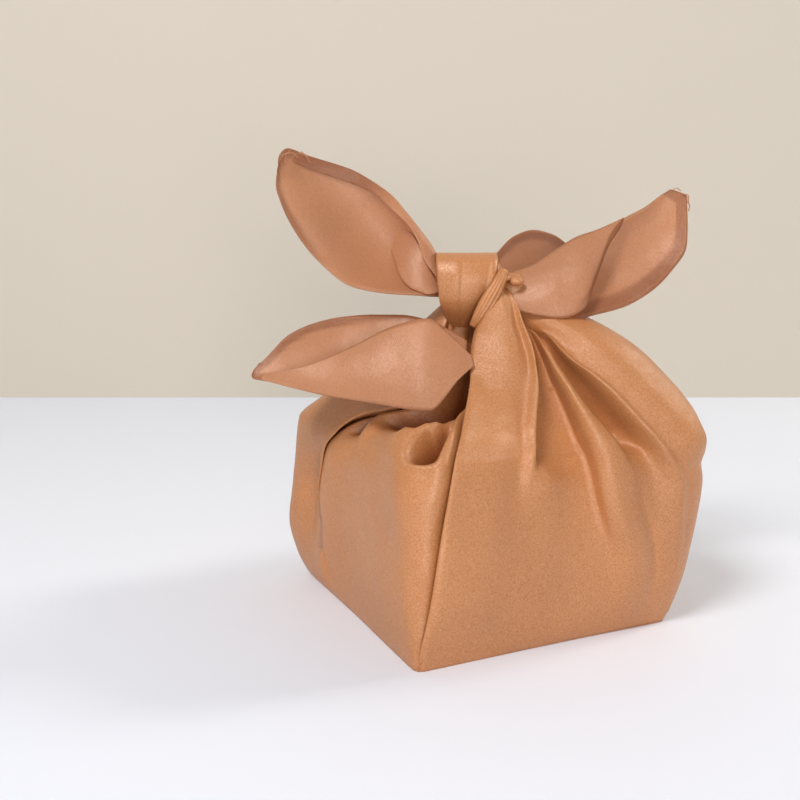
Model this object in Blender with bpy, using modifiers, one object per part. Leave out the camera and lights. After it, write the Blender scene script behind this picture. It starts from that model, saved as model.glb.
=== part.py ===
# Furoshiki wrap: one square cloth drawn up round a box-shaped space, its four corners knotted on top
# in two pairs. The front and back corners make the upper knot, with the two long upper tails. The left
# and right corners make the lower knot, with the low left tail and the short tail behind.
# Metres, +Z up. The origin is the middle of the flat base, and the front of the wrap faces -Y.
# The tables are in millimetres. A bearing is an angle seen from above: 0 at the front, 90 at the right,
# 180 at the back and -90 at the left.
import bpy
import bmesh
import numpy as np
from math import radians

MM = 0.001
CLOTH_THICKNESS = 1.2
CLOTH_COLOUR = (0.55, 0.29, 0.15, 1.0)
CLOTH_ROUGHNESS = 0.5
SHARP_ANGLE = 50.0

# The body's sections from the table up: the share of the half width that rounds the corners, then the
# distance from the upright axis to the cloth in eight directions, a turn of 45 degrees apart.
SECTION_COLUMNS = ("height", "rounding", "back", "back_left", "left", "front_left",
                   "front", "front_right", "right", "back_right")
SECTION_TURN = 45.0
SECTIONS = (
    (0.0, 0.06, 65.0, 91.0, 65.0, 91.0, 65.0, 91.0, 65.0, 91.0),
    (4.0, 0.08, 66.0, 94.0, 66.0, 91.5, 66.0, 92.5, 66.0, 92.5),
    (14.0, 0.12, 67.0, 99.0, 67.0, 92.5, 67.0, 96.0, 67.5, 96.0),
    (30.0, 0.22, 68.5, 102.5, 68.0, 92.5, 68.0, 100.0, 69.0, 99.0),
    (52.0, 0.26, 69.0, 99.0, 68.5, 91.5, 69.0, 103.0, 70.5, 101.0),
    (73.0, 0.28, 68.5, 97.5, 68.0, 90.0, 69.0, 105.0, 70.5, 101.0),
    (87.0, 0.30, 65.0, 96.0, 63.5, 86.0, 66.0, 105.5, 68.5, 99.5),
    (97.0, 0.34, 59.0, 85.0, 53.0, 73.0, 59.0, 101.0, 64.0, 94.0),
    (106.0, 0.40, 52.0, 71.0, 42.0, 54.0, 52.5, 94.5, 58.0, 86.0),
    (117.0, 0.50, 44.0, 56.0, 31.0, 33.0, 45.0, 84.0, 51.0, 74.0),
    (128.0, 0.60, 35.0, 41.0, 21.0, 21.0, 37.5, 72.5, 43.0, 60.0),
    (138.0, 0.70, 27.0, 28.0, 15.0, 14.0, 30.5, 58.0, 33.0, 44.0),
    (146.0, 0.80, 20.0, 19.0, 12.0, 12.0, 25.5, 36.0, 23.0, 27.0),
    (152.0, 0.90, 13.0, 12.0, 11.0, 11.0, 19.0, 17.0, 13.0, 13.0),
)
BASE_RINGS = (0.86, 0.5)
# How far apart the points that give the cloth's slope lie: degrees round the axis, millimetres up.
SLOPE_TURN = 2.0
SLOPE_HEIGHT = 1.5

# Folds on the body, a row for each place along a fold: its height, its bearing, how far it stands out
# (or sinks in), and how far it reaches to its left and to its right over the cloth.
FOLD_COLUMNS = ("height", "bearing", "rise", "left_reach", "right_reach")
FOLDS = {
    "front_band_trough": (
        (72.0, -4.0, 0.0, 10.0, 8.0),
        (80.0, -4.5, -2.5, 10.0, 8.0),
        (91.0, -5.5, -5.5, 8.0, 7.0),
        (99.0, -3.0, -6.0, 6.0, 5.5),
        (109.0, 1.3, -6.0, 5.0, 5.0),
        (123.0, 7.0, -5.5, 4.0, 4.0),
        (137.0, 8.5, -4.0, 3.0, 3.0),
        (150.0, 12.0, 0.0, 2.5, 2.5),
    ),
    "second_ridge": (
        (30.0, 23.0, 0.0, 12.0, 12.0),
        (62.0, 17.0, 2.5, 9.0, 10.0),
        (79.0, 12.0, 4.5, 7.0, 8.0),
        (94.0, 10.5, 6.0, 6.0, 6.0),
        (104.0, 10.5, 6.0, 5.0, 5.0),
        (117.0, 10.5, 5.0, 4.0, 4.0),
        (133.0, 12.5, 3.0, 3.0, 3.0),
        (150.0, 20.0, 0.0, 2.5, 2.5),
    ),
    "second_trough": (
        (84.0, 20.0, 0.0, 7.0, 7.0),
        (91.0, 20.5, -4.0, 7.0, 7.0),
        (100.0, 19.0, -7.0, 6.0, 6.0),
        (115.0, 16.5, -6.5, 5.0, 5.0),
        (131.0, 16.5, -4.0, 4.0, 4.0),
        (148.0, 27.0, 0.0, 3.0, 3.0),
    ),
    "third_ridge": (
        (50.0, 36.0, 0.0, 12.0, 12.0),
        (76.0, 31.5, 3.0, 8.0, 6.0),
        (86.0, 30.3, 5.0, 8.0, 4.0),
        (98.0, 28.0, 5.5, 7.0, 3.5),
        (111.0, 26.0, 5.5, 6.0, 3.5),
        (122.0, 22.5, 4.5, 5.0, 3.0),
        (135.0, 21.0, 2.5, 4.0, 3.0),
        (150.0, 34.0, 0.0, 3.0, 3.0),
    ),
    "third_trough": (
        (70.0, 40.0, 0.0, 8.0, 8.0),
        (77.0, 39.0, -4.0, 6.0, 8.0),
        (92.0, 34.0, -6.5, 4.0, 12.0),
        (106.0, 31.5, -6.5, 4.0, 14.0),
        (120.0, 27.5, -5.0, 4.0, 12.0),
        (140.0, 30.0, 0.0, 4.0, 8.0),
    ),
    "left_corner_dimple": (
        (84.0, -51.0, 0.0, 5.0, 5.0),
        (89.0, -53.0, -5.0, 5.5, 5.5),
        (95.0, -53.0, -8.0, 6.0, 6.0),
        (103.0, -47.0, -7.0, 6.0, 6.0),
        (112.0, -42.0, 0.0, 6.0, 6.0),
    ),
    "left_panel_fold": (
        (78.0, -88.0, 0.0, 6.0, 5.0),
        (87.0, -84.5, 3.0, 6.0, 4.0),
        (97.0, -78.0, 4.5, 6.0, 4.0),
        (106.0, -73.0, 4.0, 6.0, 4.0),
        (118.0, -70.0, 0.0, 6.0, 4.0),
    ),
    "right_panel_fold": (
        (60.0, 92.0, 0.0, 9.0, 9.0),
        (88.0, 94.0, -4.5, 7.0, 7.0),
        (110.0, 96.0, -6.0, 6.0, 6.0),
        (135.0, 98.0, -2.0, 4.0, 4.0),
        (148.0, 100.0, 0.0, 4.0, 4.0),
    ),
    "back_panel_left_fold": (
        (58.0, -160.0, 0.0, 9.0, 9.0),
        (90.0, -164.0, -5.0, 7.0, 7.0),
        (112.0, -168.0, -5.0, 5.0, 5.0),
        (135.0, -170.0, -2.0, 3.0, 3.0),
        (148.0, -172.0, 0.0, 3.0, 3.0),
    ),
    "back_panel_right_fold": (
        (50.0, 158.0, 0.0, 10.0, 10.0),
        (88.0, 162.0, 4.5, 8.0, 7.0),
        (110.0, 166.0, 5.5, 6.0, 5.0),
        (135.0, 170.0, 2.0, 4.0, 4.0),
        (148.0, 172.0, 0.0, 4.0, 4.0),
    ),
}
# Above 1 a fold has a rounded crest and steeper sides.
FOLD_FULLNESS = 1.8

# The four pleats at the box's corners, where the front and back of the cloth lie over its left and
# right. Rise is the step up to the upper layer, drop the step down to the lower one, and reach is how
# soon the step dies away on each side.
PLEAT_COLUMNS = ("height", "bearing", "rise", "drop", "reach")
PLEATS = {
    "front_left": (
        (0.0, -45.0, 0.0, 0.0, 14.0),
        (14.0, -43.0, 1.0, 0.5, 14.0),
        (30.0, -41.0, 1.6, 0.8, 14.0),
        (52.0, -39.5, 2.0, 1.2, 14.0),
        (73.0, -37.8, 2.4, 1.8, 14.0),
        (88.0, -36.5, 3.5, 3.0, 14.0),
        (97.0, -35.5, 5.5, 3.5, 14.0),
        (106.0, -33.0, 7.5, 3.0, 14.0),
        (113.0, -30.0, 9.0, 2.0, 13.0),
        (119.0, -26.5, 9.0, 2.0, 12.0),
        (126.0, -22.5, 8.0, 2.0, 10.0),
        (136.0, -17.0, 5.5, 2.0, 8.0),
        (142.0, -13.5, 3.0, 1.0, 7.0),
        (148.0, -10.0, 0.0, 0.0, 6.0),
    ),
    "front_right": (
        (0.0, 45.0, 0.0, 0.0, 12.0),
        (50.0, 50.0, 1.2, 0.6, 12.0),
        (88.0, 54.0, 1.5, 1.0, 12.0),
        (120.0, 56.0, 2.5, 2.0, 10.0),
        (138.0, 60.0, 2.0, 1.0, 6.0),
        (148.0, 60.0, 0.0, 0.0, 6.0),
    ),
    "back_right": (
        (0.0, 135.0, 0.0, 0.0, 12.0),
        (50.0, 131.0, 1.6, 0.8, 12.0),
        (88.0, 127.0, 3.0, 2.0, 12.0),
        (120.0, 124.0, 4.0, 2.0, 10.0),
        (138.0, 120.0, 2.0, 1.0, 6.0),
        (148.0, 120.0, 0.0, 0.0, 6.0),
    ),
    "back_left": (
        (0.0, -135.0, 0.0, 0.0, 12.0),
        (14.0, -131.0, 0.5, 0.4, 12.0),
        (43.0, -119.5, 1.0, 2.5, 12.0),
        (54.0, -115.7, 1.2, 3.5, 12.0),
        (67.0, -112.4, 1.2, 4.5, 12.0),
        (82.0, -107.0, 1.5, 4.0, 12.0),
        (94.0, -94.0, 2.0, 3.5, 12.0),
        (99.0, -88.0, 2.0, 3.0, 12.0),
        (106.0, -87.0, 2.0, 3.0, 12.0),
        (130.0, -100.0, 2.0, 1.0, 8.0),
        (148.0, -110.0, 0.0, 0.0, 6.0),
    ),
}
# The body's two back corners, where no pleat runs.
CORNER_COLUMNS = ("height", "bearing")
CORNERS = {
    "back_right_corner": ((0.0, 136.5), (14.0, 135.3), (30.0, 135.0), (120.0, 137.0), (152.0, 145.0)),
    "back_left_corner": ((0.0, -136.5), (5.0, -135.5), (14.0, -135.0), (152.0, -135.0)),
}
# The upright lines that the rows of faces follow, in order round the body, with the number of faces
# from each line to the next, and the least room between two of them.
LINES = (("back_left", 5), ("left_panel_fold", 6), ("left_corner_dimple", 4), ("front_left", 9),
         ("front_band_trough", 4), ("second_ridge", 3), ("second_trough", 3), ("third_ridge", 2),
         ("third_trough", 5), ("front_right", 5), ("right_panel_fold", 5), ("back_right", 1),
         ("back_right_corner", 4), ("back_panel_right_fold", 3), ("back_panel_left_fold", 3),
         ("back_left_corner", 3))
LINE_GAP = 1.2
# The lines where the front and the back of the cloth begin; each lies over its neighbours.
UPPER_LAYER_LINES = ("front_left", "back_right")
ROW_HEIGHTS = (0, 4, 13, 26, 42, 58, 70, 79, 85, 90, 95, 101, 107, 113, 119, 125, 131, 137, 143,
               148, 152)
# The slanted width of the step from one layer of a pleat to the other.
STEP_WIDTH = 0.9
# The cloth lies open between the back and the left of the wrap, just below the knot.
MOUTH = {"lowest": 115, "highest": 133, "from_bearing": -152, "to_bearing": -122}

# The tails' leaves, a row for each section from the knot to the tip. A section runs between the leaf's
# near and far edges, given by side (along the knot, to the right), toward (to the knot's front) and
# height above the table. Cup is how far the middle of the section bows away from the front.
KNOT_TURN = -24.9
LEAF_COLUMNS = ("near_side", "near_toward", "near_height", "far_side", "far_toward", "far_height", "cup")
LEAVES = {
    "upper_left": (
        (-8, 4, 151, -8, 2, 164, 0),
        (-20, 8, 151, -20, 4, 168, 3),
        (-31, 12, 152, -24, 2, 172, 6),
        (-44, 14, 153, -29, 0, 179, 8),
        (-60, 15, 156, -35, -2, 188, 9),
        (-74, 15, 166, -43, -3, 197, 9),
        (-85, 14, 179, -54, -4, 205, 8),
        (-92, 12, 192, -67, -3, 211, 6),
        (-95, 10, 202, -80, -1, 215, 3),
        (-94, 8, 210, -88, 3, 218, 0),
    ),
    "upper_right": (
        (10, 10, 146, 12, 4, 161, 0),
        (28, 16, 141, 25, 4, 166, 3),
        (42, 16, 141, 34, 3, 172, 5),
        (53, 14, 143, 44, 2, 178, 7),
        (65, 12, 146, 53, 1, 181, 8),
        (78, 10, 153, 61, 0, 184, 8),
        (88, 6, 162, 69, -2, 188, 7),
        (96, 2, 174, 77, -4, 192, 5),
        (97, -3, 188, 84, -6, 197, 2),
        (97, -6, 197, 89, -7, 200, 0),
    ),
    "upper_right_flap": (
        (7, 16, 149, 12, 7, 161, -1),
        (20, 20, 144, 23, 7, 165, -3),
        (34, 22, 142, 34, 5, 172, -5),
        (45, 20, 146, 44, 4, 178, -5),
        (51, 13, 158, 53, 3, 181, -3),
        (58, 6, 174, 60, 2, 184, -1),
        (64, 1, 182, 66, 0, 187, 0),
    ),
    "lower_left_back": (
        (-6, 32, 122, -6, 24, 132, 0),
        (-12, 44, 116, -16, 18, 137, 2),
        (-22, 56, 106, -24, 12, 140, 4),
        (-33, 51, 106, -38, 6, 142, 6),
        (-46, 44, 107, -52, 5, 142, 7),
        (-60, 38, 108, -66, 6, 141, 7),
        (-72, 33, 109, -80, 9, 138, 5),
        (-84, 29, 111, -91, 13, 133, 3),
        (-95, 26, 113, -99, 17, 125, 1),
        (-106, 22, 114, -104, 19, 120, 0),
    ),
    "lower_left_front": (
        (-1, 40, 120, -3, 35, 126, 0),
        (-9, 47, 115, -13, 31, 136, -1),
        (-22, 58, 105, -22, 29, 142, -3),
        (-33, 53, 105.5, -32, 29, 139, -4),
        (-46, 46, 106.5, -43, 29, 134, -4),
        (-60, 40, 107.5, -56, 29, 128, -3),
        (-72, 35, 108.5, -69, 28, 122, -2),
        (-84, 31, 110.5, -81, 28, 119, -1),
        (-94, 28, 112.5, -92, 27, 118, 0),
    ),
    "lower_right": (
        (2, -8, 150, 2, -10, 162, 0),
        (10, -12, 147, 9, -13, 171, 2),
        (18, -16, 144, 17, -18, 178, 4),
        (30, -22, 143, 27, -24, 181, 5),
        (42, -29, 145, 37, -31, 179, 5),
        (52, -36, 149, 48, -38, 172, 3),
        (59, -42, 153, 57, -43, 163, 0),
    ),
}
LEAF_LENGTH_FACES = 11
LEAF_WIDTH_FACES = 4

# The knot's band, a row for each section down its front: toward, height, and its left and right edges.
BAND_COLUMNS = ("toward", "height", "left_side", "right_side")
BAND = (
    (-10, 164, -17, 4),
    (-2, 169, -21, 5),
    (10, 170.5, -22, 6),
    (18, 168, -22, 6),
    (22, 160, -21.5, 5),
    (22, 150, -20.5, 2),
    (19, 142, -18, -1),
    (13, 135, -14, -4),
    (6, 131, -10, -5),
)
BAND_CROWN = 3.0
BAND_THICKNESS = 2.5
BAND_LENGTH_FACES = 12
BAND_WIDTH_FACES = 5

# Lumps of gathered cloth in the knot, a row each: the middle, then the half sizes.
LUMP_COLUMNS = ("side", "toward", "height", "half_side", "half_toward", "half_height")
LUMPS = {
    "core": (-4, 3, 155, 16, 14, 14),
    "neck": (0, 2, 139, 11, 10, 17),
    "front_apex": (8, 17, 151, 6, 7, 7),
    "right_root": (14, 10, 154, 11, 10, 9),
    "left_root": (-14, 3, 160, 9, 9, 9),
    "lower_left_arm": (-12, 22, 126, 11, 16, 8),
    "small_roll": (15, 20, 158, 4, 4, 3.5),
    "back_root": (3, -8, 158, 9, 9, 10),
}
LUMP_SIDES = 11
LUMP_RINGS = 7


def clear_scene():
    for thing in list(bpy.data.objects):
        bpy.data.objects.remove(thing, do_unlink=True)


def new_collection(name):
    collection = bpy.data.collections.new(name)
    bpy.context.scene.collection.children.link(collection)
    return collection


def smooth(at, rows):
    """Reads the other columns of a table at places in its first, on curves that never overshoot."""
    rows = np.array(rows, float)
    places, values = rows[:, 0], rows[:, 1:]
    step = np.diff(places)[:, None]
    slope = np.diff(values, axis=0) / step
    same = slope[1:] * slope[:-1] > 0
    total = np.where(same, slope[1:] + slope[:-1], 1.0)
    bend = np.where(same, 2 * slope[1:] * slope[:-1] / total, 0.0)
    tangent = np.vstack([slope[:1], bend, slope[-1:]])
    at = np.clip(np.asarray(at, float), places[0], places[-1])
    i = np.clip(np.searchsorted(places, at, side="right") - 1, 0, len(places) - 2)
    t = ((at - places[i]) / step[i, 0])[..., None]
    near_pull, far_pull = tangent[i] * step[i], tangent[i + 1] * step[i]
    return (values[i] * (1 + 2 * t) * (1 - t) ** 2 + near_pull * t * (1 - t) ** 2
            + values[i + 1] * t * t * (3 - 2 * t) + far_pull * t * t * (t - 1))


def read_by_height(height, rows, columns):
    """The smoothed values of a table's named columns at one or more heights."""
    values = smooth(height, rows)
    return {name: values[..., k] for k, name in enumerate(columns[1:])}


def read_along(rows, columns, faces):
    """The smoothed values of a table's named columns at even places from its first row to its last."""
    numbered = np.column_stack([np.arange(len(rows)), np.array(rows, float)])
    values = smooth(np.linspace(0, len(rows) - 1, faces + 1), numbered)
    return {name: values[:, k] for k, name in enumerate(columns)}


def rounded_square(bearing, rounding):
    """How far a square of half width 1 with rounded corners reaches along a bearing."""
    turn = np.radians(bearing)
    long_part = np.maximum(np.abs(np.sin(turn)), np.abs(np.cos(turn)))
    short_part = np.minimum(np.abs(np.sin(turn)), np.abs(np.cos(turn)))
    flat = 1 / long_part
    inner = 1 - rounding
    along = inner * (long_part + short_part)
    arc = along + np.sqrt(np.maximum(along ** 2 - 2 * inner ** 2 + rounding ** 2, 0))
    return np.where(short_part * flat > inner, arc, flat)


def body_radius(bearing, height):
    """The plain body without its folds, in millimetres from the axis."""
    section = read_by_height(height, SECTIONS, SECTION_COLUMNS)
    rounding = section["rounding"]
    directions = SECTION_COLUMNS[2:]
    reach = np.stack([section[name] for name in directions], -1)
    section_bearings = np.arange(len(directions)) * SECTION_TURN - 180
    scale = reach / rounded_square(section_bearings, rounding[..., None])
    place = (bearing + 180) % 360 / SECTION_TURN
    first = np.floor(place).astype(int) % len(directions)
    part = place - np.floor(place)
    part = part * part * (3 - 2 * part)
    near = np.take_along_axis(scale, first[..., None], -1)[..., 0]
    far = np.take_along_axis(scale, ((first + 1) % len(directions))[..., None], -1)[..., 0]
    return (near + (far - near) * part) * rounded_square(bearing, rounding)


def body_point(bearing, height):
    turn = np.radians(bearing)
    radius = body_radius(bearing, height)
    return np.stack([radius * np.sin(turn), -radius * np.cos(turn), height + 0 * turn], -1)


def body_normal(bearing, height):
    across = body_point(bearing + SLOPE_TURN, height) - body_point(bearing - SLOPE_TURN, height)
    up = body_point(bearing, height + SLOPE_HEIGHT) - body_point(bearing, height - SLOPE_HEIGHT)
    normal = np.cross(across, up)
    return normal / np.linalg.norm(normal, axis=-1, keepdims=True)


def turn_between(bearing, other):
    return (bearing - other + 180) % 360 - 180


def fold_rise(bearing, height, radius):
    """How far the folds lift the cloth off the plain body, in millimetres."""
    rise = np.zeros(np.shape(bearing))
    for rows in FOLDS.values():
        fold = read_by_height(height, rows, FOLD_COLUMNS)
        across = np.radians(turn_between(bearing, fold["bearing"])) * radius
        reach = np.where(across < 0, fold["left_reach"], fold["right_reach"])
        inside = (height >= rows[0][0]) & (height <= rows[-1][0])
        rise += np.where(inside, fold["rise"] * np.exp(-np.abs(across / reach) ** FOLD_FULLNESS), 0)
    return rise


def pleat_rise(bearing, height, radius, over):
    """The step at each pleat: the front and back of the cloth (over) stand above its sides."""
    rise = np.zeros(np.shape(bearing))
    for rows in PLEATS.values():
        pleat = read_by_height(height, rows, PLEAT_COLUMNS)
        across = np.abs(np.radians(turn_between(bearing, pleat["bearing"])) * radius)
        rise += np.where(over, pleat["rise"], -pleat["drop"]) * np.exp(-across / pleat["reach"])
    return rise


def cloth_point(bearing, height, over):
    radius = body_radius(bearing, height)
    rise = fold_rise(bearing, height, radius) + pleat_rise(bearing, height, radius, over)
    return body_point(bearing, height) + body_normal(bearing, height) * rise[..., None]


def turn_of(width, bearing, height):
    """The turn about the axis, in degrees, that covers a width of cloth."""
    return float(np.degrees(width / body_radius(np.array(bearing), np.array(float(height)))))


def line_bearings(height):
    """Where each line crosses one height, growing all the way round from the back left pleat."""
    tables = {name: (rows, FOLD_COLUMNS) for name, rows in FOLDS.items()}
    tables.update({name: (rows, PLEAT_COLUMNS) for name, rows in PLEATS.items()})
    tables.update({name: (rows, CORNER_COLUMNS) for name, rows in CORNERS.items()})
    turns = [float(read_by_height(np.array(height), *tables[name])["bearing"]) for name, _ in LINES]
    start = turns[0]
    turns = [start + (turn - start) % 360 for turn in turns]
    for k in range(1, len(turns)):
        gap = turn_of(LINE_GAP, turns[k], height)
        turns[k] = max(turns[k], turns[k - 1] + gap)
    return turns + [start + 360]


def row_bearings(height):
    """The bearings of one row of points and whether each lies on the front or back of the cloth."""
    turns = line_bearings(height)
    names = [name for name, _ in LINES] + [LINES[0][0]]
    bearings, over = [], []
    on_top = True
    for k, (name, count) in enumerate(LINES):
        if name in PLEATS:
            on_top = name in UPPER_LAYER_LINES
        start, end = turns[k], turns[k + 1]
        closing = names[k + 1] in PLEATS
        start += turn_of(STEP_WIDTH / 2, start, height) if name in PLEATS else 0
        end -= turn_of(STEP_WIDTH / 2, end, height) if closing else 0
        row = np.linspace(start, end, count + 1)
        row = row if closing else row[:-1]
        bearings += list(row)
        over += [on_top] * len(row)
    return (np.array(bearings) + 180) % 360 - 180, np.array(over)


def mesh_object(name, points, faces, collection):
    mesh = bpy.data.meshes.new(name)
    mesh.from_pydata([tuple(p) for p in points], [], faces)
    mesh.update()
    thing = bpy.data.objects.new(name, mesh)
    collection.objects.link(thing)
    return thing


def face_outwards(thing):
    work = bmesh.new()
    work.from_mesh(thing.data)
    bmesh.ops.recalc_face_normals(work, faces=work.faces)
    work.to_mesh(thing.data)
    work.free()


def shade_smooth(thing):
    thing.data.shade_smooth()
    thing.data.set_sharp_from_angle(angle=radians(SHARP_ANGLE))


def thicken(thing, thickness, offset):
    wall = thing.modifiers.new("Wall", "SOLIDIFY")
    wall.thickness = thickness * MM
    wall.offset = offset


def in_mouth(bearing, height):
    turn = turn_between(bearing, MOUTH["from_bearing"])
    width = MOUTH["to_bearing"] - MOUTH["from_bearing"]
    return MOUTH["lowest"] < height < MOUTH["highest"] and 0 < turn < width


def build_body(collection):
    """The cloth round the box-shaped space: a flat base, four walls, and the roof up to the knot."""
    rows, turns = [], []
    for height in ROW_HEIGHTS:
        bearings, over = row_bearings(height)
        rows.append(cloth_point(bearings, np.full(len(bearings), float(height)), over))
        turns.append(bearings)
    rows[0][:, 2] = 0.0
    rings = [rows[0] * [share, share, 1] for share in BASE_RINGS]
    points = np.concatenate(rings[::-1] + rows) * MM
    columns = len(rows[0])
    centre = len(points)
    points = np.vstack([points, [[0.0, 0.0, 0.0]]])
    faces = [(centre, (column + 1) % columns, column) for column in range(columns)]
    for row in range(len(rings) + len(rows) - 1):
        level = row - len(rings)
        for column in range(columns):
            if level >= 0:
                middle = (ROW_HEIGHTS[level] + ROW_HEIGHTS[level + 1]) / 2
                if in_mouth(turns[level][column], middle):
                    continue
            following = (column + 1) % columns
            first, second = row * columns, (row + 1) * columns
            faces.append((first + column, first + following, second + following, second + column))
    body = mesh_object("furoshiki_cloth", points, faces, collection)
    face_outwards(body)
    shade_smooth(body)
    thicken(body, CLOTH_THICKNESS, -1)
    return body


def knot_to_world(points):
    """Turns knot coordinates (side, toward, height) into the wrap's own, in metres."""
    points = np.asarray(points, float)
    turn = radians(KNOT_TURN)
    side, toward, height = points[..., 0], points[..., 1], points[..., 2]
    x = side * np.cos(turn) + toward * np.sin(turn)
    y = side * np.sin(turn) - toward * np.cos(turn)
    return np.stack([x, y, height], -1) * MM


def sheet_object(name, net, collection):
    """A sheet of faces through a net of knot points."""
    length, across = net.shape[:2]
    faces = [(i * across + j, i * across + j + 1, (i + 1) * across + j + 1, (i + 1) * across + j)
             for i in range(length - 1) for j in range(across - 1)]
    sheet = mesh_object(name, knot_to_world(net.reshape(-1, 3)), faces, collection)
    shade_smooth(sheet)
    return sheet


def build_leaf(name, rows, collection):
    """One leaf of a tail, its sections bowed by cup away from the front of the knot."""
    leaf = read_along(rows, LEAF_COLUMNS, LEAF_LENGTH_FACES)
    near = np.stack([leaf["near_side"], leaf["near_toward"], leaf["near_height"]], -1)[:, None]
    far = np.stack([leaf["far_side"], leaf["far_toward"], leaf["far_height"]], -1)[:, None]
    shares = np.linspace(0, 1, LEAF_WIDTH_FACES + 1)[None, :, None]
    away = np.array([0.0, -1.0, 0.0])
    bow = away * leaf["cup"][:, None, None] * 4 * shares * (1 - shares)
    sheet = sheet_object(name, near + (far - near) * shares + bow, collection)
    thicken(sheet, CLOTH_THICKNESS, 0)
    return sheet


def build_band(collection):
    """The wide turn of cloth over the front of the knot."""
    band = read_along(BAND, BAND_COLUMNS, BAND_LENGTH_FACES)
    shares = np.linspace(0, 1, BAND_WIDTH_FACES + 1)
    side = band["left_side"][:, None] + (band["right_side"] - band["left_side"])[:, None] * shares
    toward = band["toward"][:, None] - BAND_CROWN * (2 * shares - 1) ** 2
    net = np.stack([side, toward, band["height"][:, None] + 0 * side], -1)
    sheet = sheet_object("knot_band", net, collection)
    thicken(sheet, BAND_THICKNESS, 0)
    return sheet


def build_lump(name, row, collection):
    """One rounded lump of gathered cloth inside the knot."""
    sizes = dict(zip(LUMP_COLUMNS, row))
    middle = np.array([sizes["side"], sizes["toward"], sizes["height"]])
    half = np.array([sizes["half_side"], sizes["half_toward"], sizes["half_height"]])
    work = bmesh.new()
    bmesh.ops.create_uvsphere(work, u_segments=LUMP_SIDES, v_segments=LUMP_RINGS, radius=1.0)
    for vert in work.verts:
        vert.co = knot_to_world(np.array(vert.co) * half + middle)
    mesh = bpy.data.meshes.new(name)
    work.to_mesh(mesh)
    work.free()
    lump = bpy.data.objects.new(name, mesh)
    collection.objects.link(lump)
    face_outwards(lump)
    shade_smooth(lump)
    return lump


def join_to(body, other):
    """Welds another closed form into the body, so that the cloth is one piece."""
    union = body.modifiers.new("Join " + other.name, "BOOLEAN")
    union.operation = "UNION"
    union.solver = "EXACT"
    union.object = other
    other.hide_render = True
    other.display_type = "WIRE"


def cloth_material():
    material = bpy.data.materials.new("rose_tan_satin_cloth")
    material.use_nodes = True
    shader = material.node_tree.nodes["Principled BSDF"]
    shader.inputs["Base Color"].default_value = CLOTH_COLOUR
    shader.inputs["Roughness"].default_value = CLOTH_ROUGHNESS
    return material


def build_wrap():
    clear_scene()
    wrap = new_collection("furoshiki_wrap")
    knot_forms = new_collection("knot_forms")
    body = build_body(wrap)
    body.data.materials.append(cloth_material())
    forms = [build_lump("lump_" + name, row, knot_forms) for name, row in LUMPS.items()]
    forms.append(build_band(knot_forms))
    forms += [build_leaf("tail_" + name, rows, knot_forms) for name, rows in LEAVES.items()]
    for form in forms:
        join_to(body, form)


build_wrap()
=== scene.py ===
from math import radians

import bpy
import bmesh
import numpy as np
from mathutils import Matrix, Vector


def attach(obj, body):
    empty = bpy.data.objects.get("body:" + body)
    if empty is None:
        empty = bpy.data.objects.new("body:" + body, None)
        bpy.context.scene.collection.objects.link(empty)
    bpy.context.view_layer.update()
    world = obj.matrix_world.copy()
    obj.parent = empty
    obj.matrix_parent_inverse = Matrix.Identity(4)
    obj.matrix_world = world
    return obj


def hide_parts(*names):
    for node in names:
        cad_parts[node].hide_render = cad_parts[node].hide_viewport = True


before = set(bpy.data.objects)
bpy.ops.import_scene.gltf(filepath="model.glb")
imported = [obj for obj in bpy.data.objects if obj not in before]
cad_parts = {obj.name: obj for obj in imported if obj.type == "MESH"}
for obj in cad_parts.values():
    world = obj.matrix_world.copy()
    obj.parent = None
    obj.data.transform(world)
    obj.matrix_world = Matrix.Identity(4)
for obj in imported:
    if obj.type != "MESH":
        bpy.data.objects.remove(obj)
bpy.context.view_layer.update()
print("frame loaded")

# Lengths in the tables are millimetres. A bearing is an angle seen from above: 0 at the front (-Y),
# 90 at the right, 180 at the back and -90 at the left.
mm = 0.001


# reading the tables
def smooth(at, rows):  # curves through the rows that never overshoot them
    rows = np.array(rows, float)
    places, values = rows[:, 0], rows[:, 1:]
    step = np.diff(places)[:, None]
    slope = np.diff(values, axis=0) / step
    same = slope[1:] * slope[:-1] > 0
    total = np.where(same, slope[1:] + slope[:-1], 1.0)
    bend = np.where(same, 2 * slope[1:] * slope[:-1] / total, 0.0)
    tangent = np.vstack([slope[:1], bend, slope[-1:]])
    at = np.clip(np.asarray(at, float), places[0], places[-1])
    i = np.clip(np.searchsorted(places, at, side="right") - 1, 0, len(places) - 2)
    t = ((at - places[i]) / step[i, 0])[..., None]
    nearPull, farPull = tangent[i] * step[i], tangent[i + 1] * step[i]
    return (values[i] * (1 + 2 * t) * (1 - t) ** 2 + nearPull * t * (1 - t) ** 2
            + values[i + 1] * t * t * (3 - 2 * t) + farPull * t * t * (t - 1))


def readByHeight(height, rows, columns):
    values = smooth(height, rows)
    return {name: values[..., k] for k, name in enumerate(columns[1:])}


def readAlong(rows, columns, faces):
    numbered = np.column_stack([np.arange(len(rows)), np.array(rows, float)])
    values = smooth(np.linspace(0, len(rows) - 1, faces + 1), numbered)
    return {name: values[:, k] for k, name in enumerate(columns)}


def ease(low, high, at):
    t = np.clip((at - low) / (high - low), 0, 1)
    return t * t * (3 - 2 * t)


def ripple(at, seed, waves):  # a gentle uneven wave, about -1 to 1, the same on every run
    dice = np.random.default_rng(seed)
    total = np.zeros(np.shape(at))
    for k in range(1, waves + 1):
        total += np.sin(at * k * dice.uniform(0.8, 1.2) + dice.uniform(0, 6.28)) / k ** 0.7
    return total / 2.2


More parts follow.
